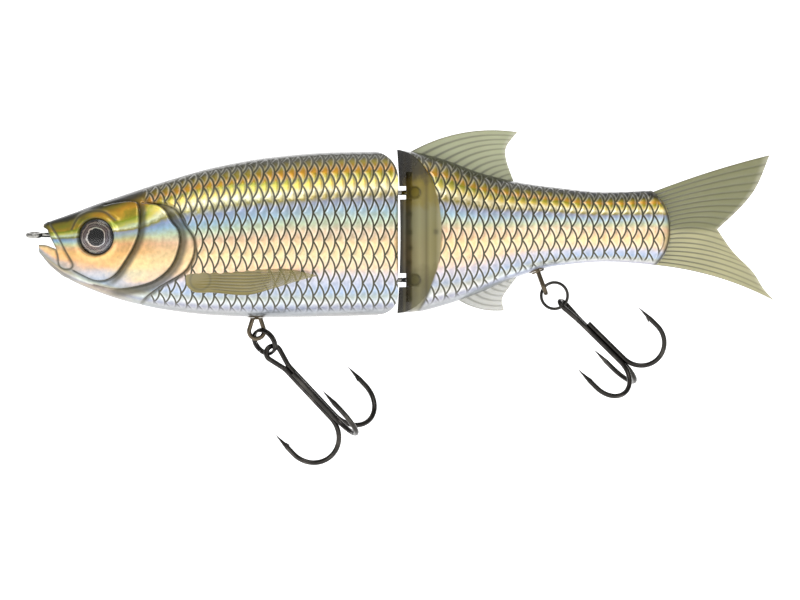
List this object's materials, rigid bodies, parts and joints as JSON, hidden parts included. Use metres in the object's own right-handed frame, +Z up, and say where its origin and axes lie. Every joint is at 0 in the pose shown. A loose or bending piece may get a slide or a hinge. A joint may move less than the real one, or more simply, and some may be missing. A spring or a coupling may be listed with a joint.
{
  "type": "jointed glide bait fishing lure",
  "caption": "Two-section hard glide bait shaped like a fish, with soft fins and tail, a wire line tie and treble hooks on swivelling hangers.",
  "frame": {"origin": "centre of the line tie's wire eye, ahead of the nose", "axes": "+X from the nose to the tail, +Y to the fish's right across the body, +Z up through the back"},
  "size_m": [0.1847, 0.0281, 0.0825],
  "materials": {
    "body_foil": "clear-coated foil over a translucent smoky olive shell",
    "soft_fin": "translucent olive soft plastic",
    "iris": "holographic foil disc",
    "lens": "clear domed resin",
    "wire": "dark nickel",
    "hook_steel": "black nickel",
    "ballast": "dull grey"
  },
  "bodies": {
    "front_section": {"front_shell_left": "body_foil", "front_shell_right": "body_foil", "line_tie": "wire", "front_hanger_barrel": "wire", "chest_ballast": "ballast", "belly_ballast": "ballast", "eye_iris_left": "iris", "eye_iris_right": "iris", "eye_lens_left": "lens", "eye_lens_right": "lens", "pectoral_fin_left": "soft_fin", "pectoral_fin_right": "soft_fin", "joint_eye_upper": "wire", "joint_eye_lower": "wire"},
    "rear_section": {"rear_shell_left": "body_foil", "rear_shell_right": "body_foil", "hinge_pin": "wire", "rear_hanger_barrel": "wire", "rear_ballast": "ballast", "dorsal_fin": "soft_fin", "anal_fin": "soft_fin", "tail_root": "soft_fin"},
    "tail": {"tail_fin": "soft_fin"},
    "front_hanger": {"front_hanger_eye": "wire"},
    "front_ring": {"front_split_ring": "hook_steel"},
    "front_treble": {"front_treble_double_hook": "hook_steel", "front_treble_single_hook": "hook_steel"},
    "rear_hanger": {"rear_hanger_eye": "wire"},
    "rear_ring": {"rear_split_ring": "hook_steel"},
    "rear_treble": {"rear_treble_double_hook": "hook_steel", "rear_treble_single_hook": "hook_steel"}
  },
  "joints": [
    {"name": "tail_yaw", "type": "hinge", "parent": "front_section", "child": "rear_section", "pos_m": [0.0924, 0, 0], "axis": [0, 0, 1], "range_deg": [-45, 45]},
    {"name": "tail_flex", "type": "hinge", "parent": "rear_section", "child": "tail", "pos_m": [0.1569, 0, 0], "axis": [0, 0, 1], "range_deg": [-20, 20], "stiffness_Nm_per_rad": 0.002},
    {"name": "front_swivel", "type": "hinge", "parent": "front_section", "child": "front_hanger", "pos_m": [0.0548, 0, -0.02035], "axis": [0, 0, 1], "continuous": true},
    {"name": "front_ring_swing", "type": "hinge", "parent": "front_hanger", "child": "front_ring", "pos_m": [0.0548, 0, -0.02377], "axis": [-0.5309, 0.7431, -0.4073], "range_deg": [-30, 65]},
    {"name": "front_treble_swing", "type": "hinge", "parent": "front_ring", "child": "front_treble", "pos_m": [0.05876, 0, -0.02893], "axis": [-0.5309, 0.7431, -0.4073], "range_deg": [-35, 45]},
    {"name": "rear_swivel", "type": "hinge", "parent": "rear_section", "child": "rear_hanger", "pos_m": [0.1241, 0, -0.00875], "axis": [-0.342, 0, 0.9397], "continuous": true},
    {"name": "rear_ring_swing", "type": "hinge", "parent": "rear_hanger", "child": "rear_ring", "pos_m": [0.12615, 0, -0.01439], "axis": [0, 1, 0], "range_deg": [-15, 45]},
    {"name": "rear_treble_swing", "type": "hinge", "parent": "rear_ring", "child": "rear_treble", "pos_m": [0.12962, 0, -0.0163], "axis": [0, 1, 0], "range_deg": [-30, 30]}
  ]
}
